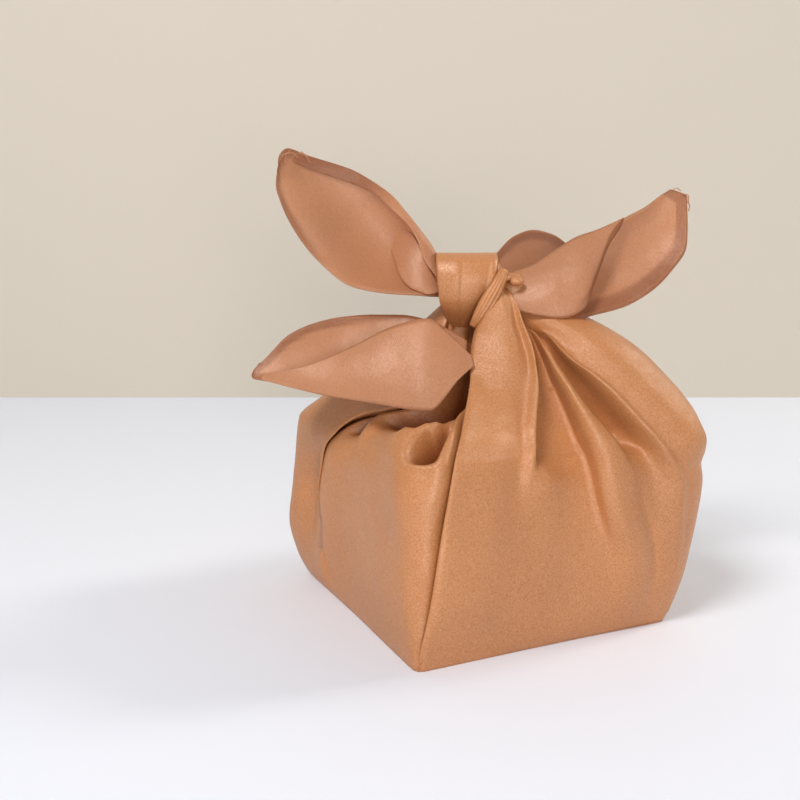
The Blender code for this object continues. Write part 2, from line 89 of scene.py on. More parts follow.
# the cloth round the box-shaped space
body = {
    "thickness": 0.6,
    "sectionColumns": ("height", "rounding", "back", "backLeft", "left", "frontLeft",
                       "front", "frontRight", "right", "backRight"),
    "sectionTurn": 45.0,
    "sections": (
        (0.0, 0.06, 65.0, 91.0, 65.0, 91.0, 65.0, 91.0, 65.0, 91.0),
        (4.0, 0.08, 66.0, 94.0, 66.0, 91.5, 66.4, 92.5, 66.0, 92.5),
        (14.0, 0.12, 67.0, 99.0, 67.0, 92.5, 68.2, 96.0, 67.5, 96.0),
        (30.0, 0.22, 68.5, 102.5, 68.0, 92.5, 69.2, 100.0, 69.0, 99.0),
        (52.0, 0.26, 69.0, 99.0, 68.5, 91.5, 69.4, 103.0, 70.5, 101.0),
        (73.0, 0.28, 68.5, 97.5, 68.0, 90.0, 69.0, 105.0, 70.5, 101.0),
        (87.0, 0.30, 65.0, 96.0, 63.5, 86.0, 66.0, 105.5, 68.5, 99.5),
        (97.0, 0.34, 59.0, 85.0, 53.0, 73.0, 59.0, 101.0, 64.0, 94.0),
        (106.0, 0.40, 52.0, 71.0, 42.0, 54.0, 52.5, 94.5, 58.0, 86.0),
        (117.0, 0.50, 44.0, 56.0, 31.0, 33.0, 45.0, 84.0, 51.0, 74.0),
        (128.0, 0.60, 35.0, 41.0, 21.0, 21.0, 37.5, 72.5, 43.0, 60.0),
        (138.0, 0.70, 27.0, 28.0, 15.0, 14.0, 30.5, 58.0, 33.0, 44.0),
        (146.0, 0.80, 20.0, 19.0, 12.0, 12.0, 25.5, 36.0, 23.0, 27.0),
        (152.0, 0.90, 13.0, 12.0, 11.0, 11.0, 19.0, 17.0, 13.0, 13.0),
    ),
    "foldColumns": ("height", "bearing", "rise", "leftReach", "rightReach"),
    "folds": {
        "wingHollow": (
            (8.0, -126.0, 0.0, 9.0, 5.0),
            (22.0, -121.5, -3.4, 8.0, 5.5),
            (38.0, -120.5, -5.4, 8.0, 5.5),
            (52.0, -120.5, -5.4, 7.0, 5.5),
            (64.0, -118.5, -4.6, 6.0, 5.0),
            (74.0, -116.0, -2.6, 5.0, 4.0),
            (84.0, -111.0, 0.0, 3.0, 3.0),
        ),
        "rightPanelFold": (
            (60.0, 92.0, 0.0, 9.0, 9.0),
            (88.0, 94.0, -4.5, 7.0, 7.0),
            (110.0, 96.0, -6.0, 6.0, 6.0),
            (135.0, 98.0, -2.0, 4.0, 4.0),
            (148.0, 100.0, 0.0, 4.0, 4.0),
        ),
        "backPanelLeftFold": (
            (58.0, -160.0, 0.0, 9.0, 9.0),
            (90.0, -164.0, -6.0, 6.0, 6.0),
            (112.0, -168.0, -7.0, 5.0, 5.0),
            (135.0, -170.0, -3.0, 3.0, 3.0),
            (148.0, -172.0, 0.0, 3.0, 3.0),
        ),
        "backPanelRightFold": (
            (40.0, 157.0, 0.0, 10.0, 10.0),
            (88.0, 162.0, 5.5, 6.0, 5.0),
            (110.0, 166.0, 6.5, 4.5, 4.0),
            (135.0, 170.0, 3.0, 3.0, 3.0),
            (148.0, 172.0, 0.0, 3.0, 3.0),
        ),
        "backPanelMiddleFold": (
            (64.0, 176.0, 0.0, 8.0, 8.0),
            (90.0, 177.0, -5.0, 5.0, 6.0),
            (114.0, 178.0, -6.5, 4.5, 4.5),
            (136.0, 179.0, -3.0, 3.0, 3.0),
            (148.0, 180.0, 0.0, 3.0, 3.0),
        ),
    },
    # the fold lines of the left side and of the front, from left to right between two pleats, as a
    # sharp-edged section at every height
    "creaseColumns": ("height", "bearing", "rise"),
    "leftCreases": {
        "wingEdge": (
            (0, -106, 0), (12, -106, 0), (24, -105.5, 0.1), (44, -106.5, 0.2),
            (70, -107, 0.4), (84, -104, 0.3), (90, -102, 0.4), (96, -96, 0.2),
            (100, -84, 0), (150, -90, 0),
        ),
        "pocket": (
            (0, -98, 0), (70, -97, 0), (84, -98, 0), (88, -98, -1.6),
            (92, -94, -6), (96, -90, -9.5), (99, -83, -8), (104, -76, -7),
            (112, -74, -6), (150, -80, 0),
        ),
        "fold2": (
            (0, -88, 0), (70, -87, 0), (82, -86, 0.4), (88, -86, 1.4),
            (92, -86.4, 2.4), (96, -84.6, 2.8), (99, -81, 2.4), (103, -74, 1),
            (110, -70, -2), (124, -68, -4), (150, -72, -5),
        ),
        "fold2Foot": (
            (0, -80, 0), (88, -80, 0), (92, -79.5, 0.2), (95, -79, -1.6),
            (98, -77, -6), (104, -68, -11), (112, -62, -13),
            (124, -60, -11), (140, -62, -6), (150, -64, -6),
        ),
        "lidLeft": (
            (0, -68, 0), (84, -66, 0.2), (91, -66, 0.8), (94, -64.5, 0.8),
            (96.5, -63, -2.4), (100, -60, -8.5), (106, -57, -13), (114, -54, -14),
            (124, -52, -11), (140, -54, -7), (150, -56, -7),
        ),
        "lidMiddle": (
            (0, -62, 0), (84, -57, 0.2), (90, -56, 1.2), (95, -55.5, 2),
            (97.5, -55, 1.4), (99.5, -54.5, -3.6), (103, -53, -9.5), (110, -49, -13),
            (122, -46, -11), (140, -48, -7), (150, -50, -7),
        ),
        "eyeLeft": (
            (0, -58, 0), (84, -50.5, 0.2), (88, -51, 0.5), (92, -51.8, 0.9),
            (96, -51.4, 1.1), (99, -50.4, 0.9), (101, -50, 0), (103, -49.6, -4),
            (110, -45.5, -8.5), (122, -42.5, -10), (136, -44, -12),
            (150, -46, -9),
        ),
        "eyeInner": (
            (0, -55, 0), (84, -47.2, 0.2), (87.5, -47, 0.6), (89.2, -47.8, -4),
            (92, -48.8, -11), (95, -48.6, -17), (98, -47.4, -17), (99.8, -47, -8),
            (101.4, -46.6, 0.2), (104, -45.8, -3.4), (110, -42.5, -7), (122, -39.5, -10),
            (136, -38, -13), (150, -38, -9),
        ),
        "eyeDeep": (
            (0, -52, 0), (84, -43.8, 0.4), (88, -43.4, 1), (89.8, -43.6, -5),
            (92, -43.6, -16), (95, -43, -25), (98, -42.2, -27), (100.4, -42, -21),
            (102.4, -41.6, -5), (105, -41.2, -3), (110, -39.5, -6), (122, -37.5, -9),
            (136, -32, -13), (150, -30, -9),
        ),
        "eyeRight": (
            (0, -49, 0), (50, -43.5, 0.2), (84, -40.4, 1), (88, -40.4, 1.8),
            (92, -40.4, 2), (97, -39.6, 2), (101, -38.8, 1.6), (105, -38.2, 0.4),
            (110, -37.6, -2), (122, -35, -8), (136, -28, -11), (150, -24, -8),
        ),
    },
    "frontCreases": {
        "bandMiddle": (
            (0, -32, 0), (60, -26, 0.3), (88, -25, 0.6), (112, -18, 0.6),
            (136, -7, 0.8), (152, -4, 0),
        ),
        "bandHollow": (
            (0, -16, 0), (24, -16, -0.4), (60, -16, -1), (80, -15, -1.2),
            (96, -12, -1), (112, -5, -0.6), (128, 2, -0.3), (140, 3, 0),
            (152, 3, 0),
        ),
        "bandRim": (
            (0, -11, 0), (60, -11, -0.6), (72, -11, -0.2), (80, -10.2, 0.6),
            (88, -8.8, 1.4), (96, -6.6, 1.9), (104, -3.3, 2.2), (112, 0.4, 2.4),
            (120, 4, 2.6), (128, 7, 2.6), (136, 7.9, 2.2), (144, 7.9, 1.6),
            (152, 8, 0.6),
        ),
        "rimFoot": (
            (0, -4, 0), (60, -4, 0), (70, -4.5, 0.4), (77, -5.5, 0.9),
            (83, -6.4, -0.6), (89, -6.6, -3.2), (96, -5, -4.4), (104, -1.8, -4.8),
            (112, 1.9, -5.2), (120, 5.6, -5.8), (128, 8.8, -7), (136, 10, -8),
            (144, 10.4, -7), (152, 10.5, -5),
        ),
        "ridge2Foot": (
            (0, 24, 0), (20, 21.5, -0.4), (40, 19.5, -1.2), (54, 17, -2),
            (66, 14.7, -2.8), (78, 13.3, -4), (90, 12.6, -6.6), (102, 12.3, -7.8),
            (112, 11.6, -7.4), (120, 10.8, -7.2), (128, 10.9, -8), (136, 11.2, -9),
            (144, 12, -8), (152, 14, -6),
        ),
        "ridge2Left": (
            (0, 26, 0), (40, 22, 0.2), (54, 19, 0.7), (66, 16.2, 1.4),
            (78, 14.4, 1.7), (90, 13.5, 1.6), (102, 13.2, 1.6), (112, 12.6, 1.2),
            (120, 11.9, 0.6), (128, 12, -1.6), (136, 12.4, -5), (144, 13.4, -8),
            (152, 15.4, -7),
        ),
        "ridge2Crest": (
            (0, 30, 0), (20, 28, 0.6), (40, 25.5, 1.7), (54, 22.5, 2.4),
            (66, 19.8, 3), (78, 18, 3.6), (90, 17, 4.2), (102, 15.7, 4.4),
            (112, 14.7, 4), (120, 13.6, 3), (128, 13, 0.6), (136, 13.4, -4),
            (144, 14.4, -8), (152, 16.4, -7),
        ),
        "ridge2Right": (
            (0, 34, 0), (40, 30, 0.6), (54, 27, 1.1), (66, 24.6, 1.5),
            (78, 23, 2.4), (88, 21.4, 3), (96, 19.8, 3.2), (102, 18.2, 3.2),
            (110, 16.7, 3), (118, 15.5, 2.4), (126, 14.3, 0.6), (136, 14.4, -5),
            (144, 15.4, -8.6), (152, 17.4, -7),
        ),
        "trough2": (
            (0, 37, 0), (40, 33, -0.8), (66, 27.6, -0.2), (80, 24.8, 1),
            (86, 23.4, 0.4), (89.5, 22.4, -4), (94, 21.4, -8.5), (100, 20, -10),
            (108, 18.3, -10.5), (116, 16.9, -9.5), (124, 15.6, -9), (132, 15.2, -9),
            (140, 15.6, -9.5), (152, 18.4, -7),
        ),
        "facet": (
            (0, 40, 0), (60, 31, -0.3), (76, 29.4, -0.8), (84, 28, -1.6),
            (90, 26.6, -4.2), (98, 24.6, -6), (106, 22.8, -6), (114, 21, -5.4),
            (122, 18.8, -5), (130, 17.2, -6), (140, 17, -8), (152, 19.6, -6),
        ),
        "ridge3Crest": (
            (0, 42, 0), (30, 39.4, 0.2), (44, 38, 0.7), (60, 36.4, 1.5),
            (72, 35.4, 2.2), (80, 33.6, 3.2), (90, 30.2, 4.8), (96, 28.6, 5.4),
            (102, 27.3, 5.4), (110, 25.6, 5.2), (118, 23, 4.4), (126, 19.4, 1.6),
            (134, 18.4, -2.4), (144, 19.4, -6), (152, 21.4, -5),
        ),
        "crease3": (
            (0, 43, 0), (44, 40, 0), (60, 38.4, 0), (72, 37.4, 0.2),
            (80, 35.2, 0.2), (90, 31.9, 0), (102, 29, 0), (110, 27.4, 0),
            (118, 24.9, -0.4), (126, 20.9, -1.4), (134, 19.8, -4), (144, 20.8, -5),
            (152, 22.4, -4),
        ),
        "billow": (
            (0, 44, 0), (60, 44, 0.2), (70, 43, 0), (77, 42, -1),
            (84, 41, 0.6), (92, 40, 1.6), (104, 38, 2.2), (116, 36, 2.2),
            (128, 33, 1.2), (140, 30, -1), (152, 30, -2),
        ),
    },
    "creaseDepth": 1.3,
    "foldFullness": 1.8,
    # the small unevenness of the walls: its size, the heights where it comes in and goes out, and
    # each ripple's share, waves round the body, slant and seed
    "slack": 0.9,
    "slackComes": (4.0, 30.0),
    "slackGoes": (110.0, 150.0),
    "ripples": ((1.0, 5, 0.03, 4), (0.5, 3, -0.08, 7)),
    "rippleWaves": 3,
    # rise and drop: the step up to the upper layer and down to the lower one; tuck: how far the
    # cloth turns back under the upper layer's edge
    "pleatColumns": ("height", "bearing", "rise", "drop", "reach", "tuck"),
    "pleats": {
        "frontLeft": (
            (0.0, -45.0, 0.1, 0.1, 10.0, 0.0),
            (3.0, -44.6, 0.3, 0.4, 10.0, 0.0),
            (8.0, -44.0, 0.5, 1.0, 10.0, 4.0),
            (14.0, -43.0, 0.8, 1.8, 10.0, 9.0),
            (30.0, -41.0, 1.0, 3.6, 11.0, 20.0),
            (52.0, -39.2, 1.2, 3.8, 11.0, 36.0),
            (73.0, -37.3, 1.4, 2.6, 10.0, 56.0),
            (88.0, -36.2, 1.8, 1.6, 7.0, 64.0),
            (97.0, -35.3, 2.6, 2.0, 7.0, 62.0),
            (106.0, -34.8, 3.6, 4.0, 9.0, 52.0),
            (113.0, -34.0, 5.0, 6.0, 11.0, 36.0),
            (119.0, -32.5, 6.5, 7.0, 11.0, 24.0),
            (126.0, -29.5, 7.0, 6.0, 10.0, 15.0),
            (136.0, -25.5, 5.5, 6.0, 8.0, 8.0),
            (142.0, -21.0, 3.6, 4.0, 6.0, 5.0),
            (148.0, -14.5, 1.4, 2.0, 5.0, 2.0),
        ),
        "frontRight": (
            (0.0, 45.0, 0.1, 0.1, 12.0, 0.0),
            (3.0, 45.2, 0.2, 0.1, 12.0, 0.0),
            (50.0, 50.0, 1.2, 0.6, 12.0, 35.0),
            (88.0, 54.0, 1.5, 1.0, 12.0, 62.0),
            (106.0, 55.0, 2.0, 1.5, 11.0, 46.0),
            (120.0, 56.0, 2.5, 2.0, 10.0, 26.0),
            (138.0, 60.0, 2.0, 1.0, 6.0, 8.0),
            (148.0, 60.0, 0.6, 0.2, 6.0, 3.0),
        ),
        "backRight": (
            (0.0, 135.0, 0.1, 0.1, 12.0, 0.0),
            (3.0, 134.8, 0.2, 0.1, 12.0, 0.0),
            (50.0, 131.0, 1.6, 0.8, 12.0, 35.0),
            (88.0, 127.0, 3.0, 2.0, 12.0, 60.0),
            (120.0, 124.0, 4.0, 2.0, 10.0, 44.0),
            (138.0, 120.0, 2.0, 1.0, 6.0, 16.0),
            (148.0, 120.0, 0.6, 0.2, 6.0, 3.0),
        ),
        "backLeft": (
            (0.0, -113.0, 0.0, 0.0, 8.0, 0.0),
            (22.0, -112.5, 0.0, 0.0, 8.0, 0.0),
            (38.0, -111.0, 0.0, 0.0, 6.0, 0.0),
            (50.0, -114.0, 0.0, 0.0, 5.0, 0.0),
            (58.0, -113.0, 0.1, 0.1, 5.0, 6.0),
            (70.0, -111.2, 0.4, 0.4, 5.0, 26.0),
            (79.0, -110.0, 0.8, 0.8, 6.0, 44.0),
            (87.0, -105.8, 1.3, 1.4, 7.0, 54.0),
            (93.0, -103.2, 1.6, 2.0, 8.0, 60.0),
            (96.4, -98.6, 1.8, 2.2, 8.0, 60.0),
            (99.0, -87.5, 2.0, 2.4, 8.0, 60.0),
            (102.0, -80.0, 2.2, 2.4, 8.0, 58.0),
            (108.0, -79.0, 2.4, 3.0, 9.0, 52.0),
            (130.0, -96.0, 2.0, 1.0, 8.0, 28.0),
            (148.0, -110.0, 0.6, 0.2, 6.0, 3.0),
        ),
    },
    "cornerColumns": ("height", "bearing"),
    "corners": {
        "backRightCorner": ((0.0, 136.5), (14.0, 135.3), (30.0, 135.0), (120.0, 137.0),
                            (152.0, 145.0)),
        "backLeftCorner": ((0.0, -136.5), (5.0, -135.5), (14.0, -135.0), (152.0, -135.0)),
    },
    # the lines that the columns of points follow round the body, with the faces from each to
    # the next
    "lines": (("backLeft", 4), ("wingEdge", 7), ("pocket", 6), ("fold2", 4), ("fold2Foot", 8),
              ("lidLeft", 6), ("lidMiddle", 4), ("eyeLeft", 4), ("eyeInner", 4), ("eyeDeep", 4),
              ("eyeRight", 4), ("frontLeft", 8), ("bandMiddle", 8), ("bandHollow", 6),
              ("bandRim", 4), ("rimFoot", 9), ("ridge2Foot", 4), ("ridge2Left", 4), ("ridge2Crest", 4),
              ("ridge2Right", 4), ("trough2", 5), ("facet", 6), ("ridge3Crest", 3), ("crease3", 9),
              ("billow", 8), ("frontRight", 13), ("rightPanelFold", 13), ("backRight", 3),
              ("backRightCorner", 11), ("backPanelRightFold", 8), ("backPanelLeftFold", 10),
              ("backLeftCorner", 9)),
    "lineGap": 0.6,
    "upperAfter": ("frontLeft", "backRight"),
    "layerGap": 1.8,
    # how far the tucked cloth hangs below the roof, by height
    "looseGap": ((0.0, 0.0), (70.0, 1.0), (84.0, 8.0), (92.0, 15.0), (112.0, 15.0), (128.0, 9.0),
                 (150.0, 1.0)),
    "tuckShares": (0.04, 0.1, 0.2, 0.35, 0.55, 0.78, 1.0),
    # layer and depth of the tucked cloth's lower part, of its far turn and of its upper part
    "tuckLevels": ((0.0, 1.0), (0.25, 0.8), (0.5, 0.6)),
    # how far in from the edge the layers part, the tuck hangs and the roof's folds fade out
    "layerFall": 3.0,
    "looseFall": 10.0,
    "foldFall": 6.0,
    "tuckFull": 8.0,
    "liftFull": 14.0,
    "rollBulge": 0.8,
    "rollAngles": (45, 90, 135),
    "joinWithin": 0.02,
    "normalTurn": 2.0,
    "normalRise": 1.5,
    "wallRows": 34,
    "wallCrowding": 1.15,
    "roofRows": 66,
    "wallTop": 80.0,
    "top": 152.0,
    "baseRings": (0.02, 0.3, 0.6, 0.85, 0.97),
    # the front of the cloth runs on up to a point where it goes into the knot
    "apex": {"bearing": -6.0, "turn": 15.0, "lift": 5.0, "from": 138.0},
    # rim: points within these shares of the mouth's size are moved onto its edge
    "mouth": {"bearing": -138.0, "height": 122.0, "halfTurn": 10.0, "halfHeight": 9.0,
              "rim": (0.78, 1.3)},
}


def roundedSquare(bearing, rounding):
    turn = np.radians(bearing)
    longPart = np.maximum(np.abs(np.sin(turn)), np.abs(np.cos(turn)))
    shortPart = np.minimum(np.abs(np.sin(turn)), np.abs(np.cos(turn)))
    flat = 1 / longPart
    inner = 1 - rounding
    along = inner * (longPart + shortPart)
    arc = along + np.sqrt(np.maximum(along ** 2 - 2 * inner ** 2 + rounding ** 2, 0))
    return np.where(shortPart * flat > inner, arc, flat)


def bodyRadius(bearing, height):
    section = readByHeight(height, body["sections"], body["sectionColumns"])
    directions = body["sectionColumns"][2:]
    reach = np.stack([section[name] for name in directions], -1)
    sectionBearings = np.arange(len(directions)) * body["sectionTurn"] - 180
    scale = reach / roundedSquare(sectionBearings, section["rounding"][..., None])
    place = (bearing + 180) % 360 / body["sectionTurn"]
    first = np.floor(place).astype(int) % len(directions)
    part = place - np.floor(place)
    part = part * part * (3 - 2 * part)
    near = np.take_along_axis(scale, first[..., None], -1)[..., 0]
    far = np.take_along_axis(scale, ((first + 1) % len(directions))[..., None], -1)[..., 0]
    return (near + (far - near) * part) * roundedSquare(bearing, section["rounding"])


def bodyPoint(bearing, height):
    turn = np.radians(bearing)
    radius = bodyRadius(bearing, height)
    return np.stack([radius * np.sin(turn), -radius * np.cos(turn), height + 0 * turn], -1)


def bodyNormal(bearing, height):
    turn, rise = body["normalTurn"], body["normalRise"]
    across = bodyPoint(bearing + turn, height) - bodyPoint(bearing - turn, height)
    up = bodyPoint(bearing, height + rise) - bodyPoint(bearing, height - rise)
    normal = np.cross(across, up)
    return normal / np.linalg.norm(normal, axis=-1, keepdims=True)


def turnBetween(bearing, other):
    return (bearing - other + 180) % 360 - 180


def foldRise(bearing, height, radius):
    rise = np.zeros(np.shape(bearing))
    for rows in body["folds"].values():
        fold = readByHeight(height, rows, body["foldColumns"])
        across = np.radians(turnBetween(bearing, fold["bearing"])) * radius
        reach = np.where(across < 0, fold["leftReach"], fold["rightReach"])
        inside = (height >= rows[0][0]) & (height <= rows[-1][0])
        shape = np.exp(-np.abs(across / reach) ** body["foldFullness"])
        rise += np.where(inside, fold["rise"] * shape, 0)
    return rise


def layerRise(bearing, height, radius, layer):
    # layer 1 is the front and back of the cloth, 0 the sides, and between them the turned-back part
    rise = np.zeros(np.shape(bearing))
    for rows in body["pleats"].values():
        pleat = readByHeight(height, rows, body["pleatColumns"])
        across = np.abs(np.radians(turnBetween(bearing, pleat["bearing"])) * radius)
        fade = np.exp(-across / pleat["reach"])
        rise += fade * (layer * pleat["rise"] - (1 - layer) * pleat["drop"])
    return rise


def lineBearings(height):
    tables = {name: (rows, body["foldColumns"]) for name, rows in body["folds"].items()}
    for creases in ("leftCreases", "frontCreases"):
        tables.update({name: (rows, body["creaseColumns"]) for name, rows in body[creases].items()})
    tables.update({name: (rows, body["pleatColumns"]) for name, rows in body["pleats"].items()})
    tables.update({name: (rows, body["cornerColumns"]) for name, rows in body["corners"].items()})
    turns = [readByHeight(height, *tables[name])["bearing"] for name, _ in body["lines"]]
    for k in range(1, len(turns)):
        turn = turns[k - 1] + (turns[k] - turns[k - 1] + 90) % 360 - 90
        gap = np.degrees(body["lineGap"] / bodyRadius(turn, height))
        turns[k] = np.maximum(turn, turns[k - 1] + gap)
    return turns + [turns[0] + 360]


def creaseRise(bearing, heights, turns, first, creases):
    # each row of points runs through the fold lines between two pleats, level with them at its ends
    start = [name for name, _ in body["lines"]].index(first)
    places = np.stack(turns[start:start + len(creases) + 2], 1)
    tables = creases.values()
    rises = [readByHeight(heights, rows, body["creaseColumns"])["rise"] for rows in tables]
    rises = np.stack([0 * heights] + rises + [0 * heights], 1) * body["creaseDepth"]
    rise = np.zeros(bearing.shape)
    for i in range(len(heights)):
        inside = (bearing[i] > places[i, 0]) & (bearing[i] < places[i, -1])
        section = np.column_stack([places[i], rises[i]])
        rise[i, inside] = smooth(bearing[i, inside], section)[..., 0]
    return rise


def pleatColumns(name, bearing, height):
    # the columns of points that turn back at a pleat, from the lower layer to the upper one:
    # bearing, layer, lift, shown, and how much of the roof's folds they follow
    pleat = readByHeight(height, body["pleats"][name], body["pleatColumns"])
    radius = bodyRadius(bearing, height)
    loose = smooth(height, body["looseGap"])[..., 0]
    side = 1 if name in body["upperAfter"] else -1
    full = ease(0, body["tuckFull"], pleat["tuck"])
    columns = []

    def tucked(share, layer, depth, reach=0.0):
        far = pleat["tuck"] * share
        turn = np.degrees((far + reach * full) / radius) * side
        parted = body["layerGap"] * (1 - np.exp(-far / body["layerFall"]))
        hanging = loose * (1 - np.exp(-far / body["looseFall"]))
        folded = np.exp(-far / body["foldFall"])
        columns.append((bearing + turn, layer, -depth * (parted + hanging), 0.0, folded))

    lower, farTurn, upper = body["tuckLevels"]
    for share in body["tuckShares"]:
        tucked(share, *lower)
    tucked(1.0, *farTurn, body["rollBulge"])
    for share in body["tuckShares"][::-1] + (0.0,):
        tucked(share, *upper)
    for angle in body["rollAngles"]:
        out = np.degrees(body["rollBulge"] * full * np.sin(radians(angle)) / radius) * side
        rolled = (1 - np.cos(radians(angle))) / 2
        layer = upper[0] + (1 - upper[0]) * rolled
        columns.append((bearing - out, layer, 0.0, 0.0, 1.0))
    return columns if side > 0 else columns[::-1]


def bodyNet():
    steps = np.linspace(0, 1, body["wallRows"] + 1)[:-1]
    walls = steps ** body["wallCrowding"] * body["wallTop"]
    roof = np.linspace(body["wallTop"], body["top"], body["roofRows"] + 1)
    heights = np.concatenate([walls, roof])
    turns = lineBearings(heights)
    names = [name for name, _ in body["lines"]] + [body["lines"][0][0]]
    columns = []
    layer = 0.0
    for k, (name, count) in enumerate(body["lines"]):
        if name in body["pleats"]:
            columns += pleatColumns(name, turns[k], heights)
            layer = 1.0 if name in body["upperAfter"] else 0.0
        closing = names[k + 1] in body["pleats"]
        for share in np.linspace(0, 1, count + 1)[:None if closing else -1]:
            turn = turns[k] + (turns[k + 1] - turns[k]) * share
            columns.append((turn, layer, 0.0, 1.0, 1.0))
    shape = (len(heights), len(columns))
    bearing = np.stack([np.broadcast_to(c[0], heights.shape) for c in columns], 1)
    level = np.repeat(heights[:, None], shape[1], 1)
    layers = np.stack([np.full(shape[0], c[1]) for c in columns], 1)
    lift = np.stack([np.broadcast_to(c[2], heights.shape) for c in columns], 1)
    shown = np.stack([np.full(shape[0], c[3]) for c in columns], 1) > 0.5
    folded = np.stack([np.broadcast_to(c[4], heights.shape) for c in columns], 1)
    creased = creaseRise(bearing, heights, turns, "backLeft", body["leftCreases"])
    creased += creaseRise(bearing, heights, turns, "frontLeft", body["frontCreases"])
    bearing, level, gap = cutMouth(bearing, level, shown)
    radius = bodyRadius(bearing, level)
    rise = foldRise(bearing, level, radius) + creased
    rise = np.where(rise < 0, rise, rise * folded) + layerRise(bearing, level, radius, layers)
    rise += lift * ease(0, body["liftFull"], level)
    slack = body["slack"] * ease(*body["slackComes"], level)
    slack = slack * (1 - ease(*body["slackGoes"], level)) * folded
    for share, waves, slant, seed in body["ripples"]:
        place = np.radians(bearing) * waves + level * slant
        rise += share * slack * ripple(place, seed, body["rippleWaves"])
    points = bodyPoint(bearing, level) + bodyNormal(bearing, level) * rise[..., None]
    apex = body["apex"]
    share = np.exp(-(turnBetween(bearing, apex["bearing"]) / apex["turn"]) ** 2)
    points[..., 2] += apex["lift"] * share * ease(apex["from"], body["top"], level)
    points[0, :, 2] = 0.0
    return points, gap


def cutMouth(bearing, level, shown):
    # the gap in the cloth behind the knot: the points near its rim are moved onto the rim
    mouth = body["mouth"]
    away = turnBetween(bearing, mouth["bearing"])
    up = level - mouth["height"]
    far = np.sqrt((away / mouth["halfTurn"]) ** 2 + (up / mouth["halfHeight"]) ** 2)
    rimFrom, rimTo = mouth["rim"]
    near = shown & (far > rimFrom) & (far < rimTo)
    move = np.where(near, 1 / np.maximum(far, rimFrom), 1.0) - 1
    return bearing + away * move, level + up * move, shown & (far < 1.0) & ~near


def addGrid(store, points, closed=False, skip=None, hemShade=None, sheer=None):
    # a net of points becomes faces with a thread direction in metres and the cloth's own attributes:
    # the hem mask, where shade is painted darker, and the sheer mask, which lets light through and is
    # painted paler for it
    rows, across = points.shape[:2]
    first = len(store["points"])
    flat = points.reshape(-1, 3)
    store["points"] = np.vstack([store["points"], flat])
    run = np.zeros((rows, across + 1))
    wrapped = np.concatenate([points, points[:, :1]], 1)
    run[:, 1:] = np.cumsum(np.linalg.norm(np.diff(wrapped, axis=1), axis=2), 1)
    climb = np.zeros((rows, across))
    climb[1:] = np.cumsum(np.linalg.norm(np.diff(points, axis=0), axis=2), 0)
    climb = np.concatenate([climb, climb[:, :1]], 1)
    for i in range(rows - 1):
        for j in range(across if closed else across - 1):
            k = (j + 1) % across
            corners = ((i, j, j), (i, k, j + 1), (i + 1, k, j + 1), (i + 1, j, j))
            if skip is not None and any(skip[a, b] for a, b, _ in corners):
                continue
            store["faces"].append(tuple(first + a * across + b for a, b, _ in corners))
            store["threads"] += [(run[a, c] * mm, climb[a, c] * mm) for a, _, c in corners]
    blank = np.zeros(rows * across)
    store["hemShade"] = np.concatenate([store["hemShade"], blank if hemShade is None else hemShade.reshape(-1)])
    store["sheer"] = np.concatenate([store["sheer"], blank if sheer is None else blank + sheer])
    return first


def newStore():
    return {"points": np.zeros((0, 3)), "faces": [], "threads": [], "hemShade": np.zeros(0),
            "sheer": np.zeros(0)}


def addBody(store):
    points, gap = bodyNet()
    rings = np.array([points[0] * [share, share, 1] for share in body["baseRings"]])
    full = np.concatenate([rings, points])
    skip = np.concatenate([np.zeros(rings.shape[:2], bool), gap])
    first = addGrid(store, full, closed=True, skip=skip)
    store["faces"].append(tuple(first + j for j in range(points.shape[1]))[::-1])
    store["threads"] += [tuple(full[0, j, :2] * mm) for j in range(points.shape[1])][::-1]


